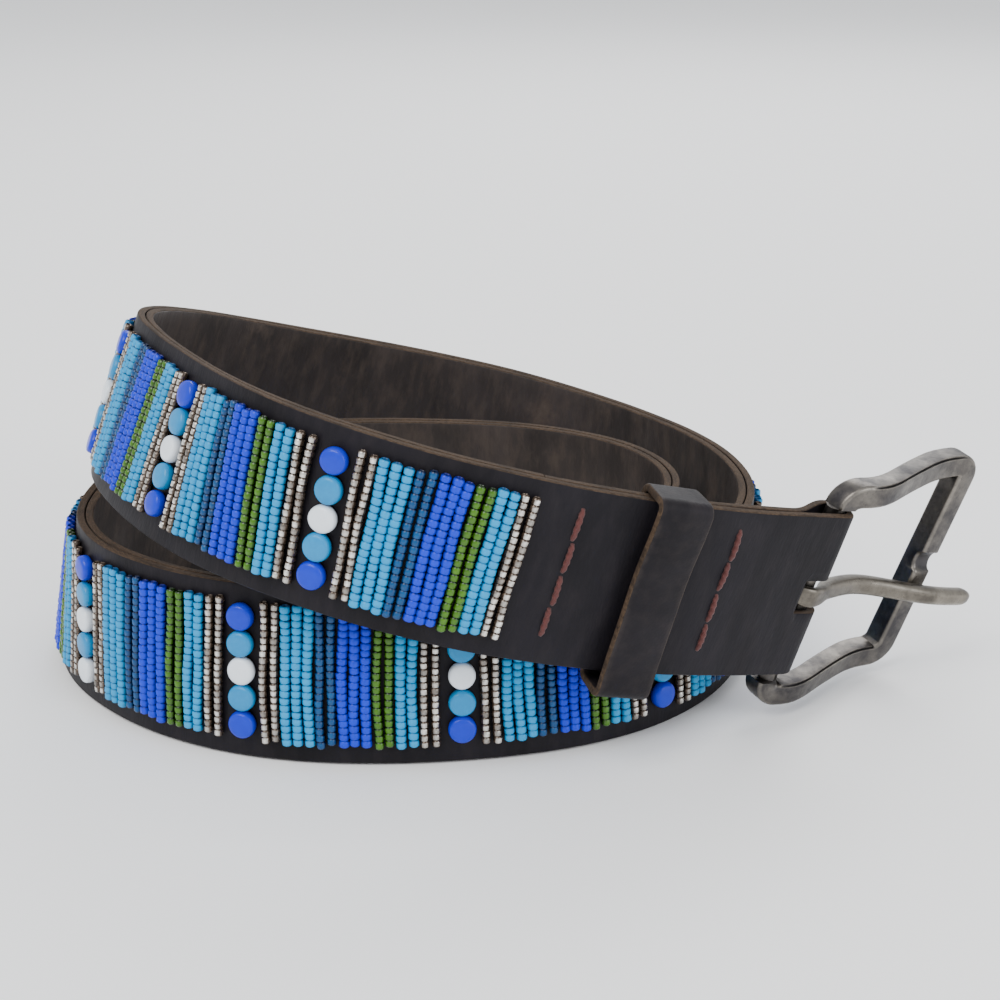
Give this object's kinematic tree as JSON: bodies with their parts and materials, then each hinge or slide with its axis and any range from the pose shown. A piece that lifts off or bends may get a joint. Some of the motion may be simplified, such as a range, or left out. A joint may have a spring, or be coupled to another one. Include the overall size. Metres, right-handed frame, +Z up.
{
  "type": "beaded belt",
  "caption": "Leather belt lying in a loose coil, its face sewn with striped fields of seed beads between columns of disc beads, with a leather keeper and a pin buckle that swings.",
  "frame": {"origin": "middle of the coiled belt's bounding box, at the height of the lower edge that it rests on", "axes": "+Z up from the resting edge, +X towards the side where the buckle stands out, +Y from the buckle's side of the coil to the back"},
  "size_m": [0.2216, 0.1752, 0.0834],
  "materials": {
    "face_leather": "smooth, matt, nearly black",
    "lining_leather": "scuffed, dark brown",
    "keeper_leather": "smooth, with paler cut edges",
    "seed_beads": "glossy, in stripes of several colours",
    "disc_beads": "glossy and opaque, in blue, turquoise and white",
    "frame_metal": "darkened nickel, satin",
    "prong_metal": "darkened nickel, satin"
  },
  "bodies": {
    "strap": {"face_leather": "face_leather", "lining_leather": "lining_leather", "keeper": "keeper_leather", "seed_bay_01": "seed_beads", "seed_bay_02": "seed_beads", "seed_bay_03": "seed_beads", "seed_bay_04": "seed_beads", "seed_bay_05": "seed_beads", "seed_bay_06": "seed_beads", "seed_bay_07": "seed_beads", "seed_bay_08": "seed_beads", "seed_bay_09": "seed_beads", "seed_bay_10": "seed_beads", "seed_bay_11": "seed_beads", "seed_bay_12": "seed_beads", "seed_bay_13": "seed_beads", "seed_bay_14": "seed_beads", "seed_bay_15": "seed_beads", "seed_bay_16": "seed_beads", "seed_bay_17": "seed_beads", "disc_column_01": "disc_beads", "disc_column_02": "disc_beads", "disc_column_03": "disc_beads", "disc_column_04": "disc_beads", "disc_column_05": "disc_beads", "disc_column_06": "disc_beads", "disc_column_07": "disc_beads", "disc_column_08": "disc_beads", "disc_column_09": "disc_beads", "disc_column_10": "disc_beads", "disc_column_11": "disc_beads", "disc_column_12": "disc_beads", "disc_column_13": "disc_beads", "disc_column_14": "disc_beads", "disc_column_15": "disc_beads", "disc_column_16": "disc_beads"},
    "buckle": {"buckle_frame": "frame_metal"},
    "prong": {"prong": "prong_metal"}
  },
  "joints": [
    {"name": "buckle_swing", "type": "hinge", "parent": "strap", "child": "buckle", "pos_m": [0.06612, -0.04851, 0.03181], "axis": [-0.3022, 0.0277, -0.9529], "range_deg": [-35, 50]},
    {"name": "prong_swing", "type": "hinge", "parent": "buckle", "child": "prong", "pos_m": [0.06612, -0.04851, 0.03181], "axis": [-0.3022, 0.0277, -0.9529], "range_deg": [0, 65]}
  ]
}
